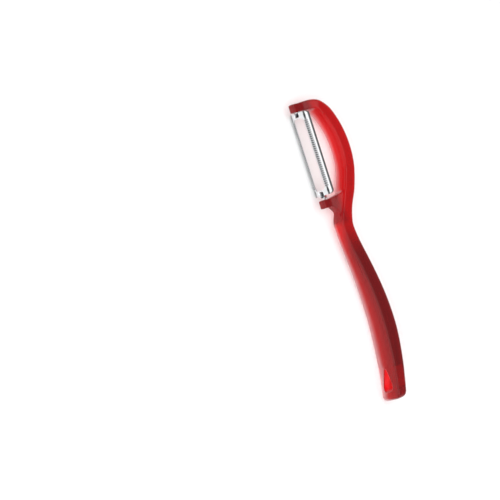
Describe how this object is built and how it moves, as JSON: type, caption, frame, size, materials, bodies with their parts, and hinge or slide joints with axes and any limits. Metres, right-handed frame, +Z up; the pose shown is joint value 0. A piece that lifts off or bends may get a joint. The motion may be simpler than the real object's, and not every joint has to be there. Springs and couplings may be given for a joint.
{
  "type": "swivel vegetable peeler",
  "caption": "Hand-held swivel peeler: a transparent red handle with a bow and two arms, and a slotted, serrated steel blade that turns freely between the arms.",
  "frame": {"origin": "bottom centre of the box round the peeler as it lies on its side", "axes": "+X along the blade's axis towards the head, +Y out of the bow towards the food, +Z up, across the handle"},
  "size_m": [0.2034, 0.038, 0.0156],
  "materials": {
    "red_plastic": "polished transparent red moulding",
    "blade_steel": "bright stamped stainless steel with ground, serrated slot edges"
  },
  "bodies": {
    "root": {"handle": "red_plastic"},
    "swivel_blade": {"blade": "blade_steel"}
  },
  "joints": [
    {"name": "blade_swivel", "type": "hinge", "parent": "root", "child": "swivel_blade", "pos_m": [0.0985, 0.01377, 0.0078], "axis": [1, 0, 0], "continuous": true}
  ]
}
